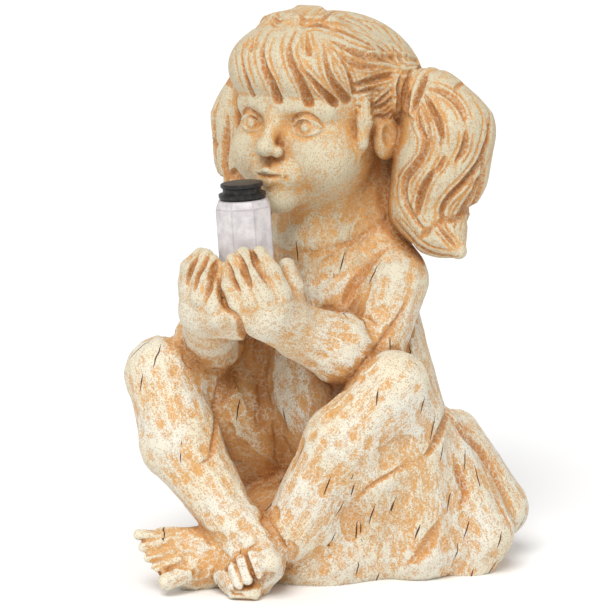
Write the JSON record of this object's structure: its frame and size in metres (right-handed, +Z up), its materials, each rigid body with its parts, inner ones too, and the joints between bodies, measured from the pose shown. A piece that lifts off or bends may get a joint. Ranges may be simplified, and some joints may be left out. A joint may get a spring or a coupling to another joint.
{
  "type": "child garden statue",
  "caption": "Seated child figure with pigtails and a spreading dress, legs crossed at the ankles, both hands cupped round a small eight-sided jar with a stopper.",
  "frame": {"origin": "on the flat underside, under the middle of the seated figure", "axes": "+Z up, -Y the way the figure's chest faces, +X toward the figure's left"},
  "size_m": [0.1869, 0.1798, 0.3014],
  "materials": {
    "figure": "cast resin, cream paint dry-brushed over ochre",
    "jar": "frosted translucent white",
    "stopper": "black moulded stopper, satin"
  },
  "bodies": {
    "root": {"figure": "figure", "jar": "jar", "stopper": "stopper"}
  },
  "joints": []
}
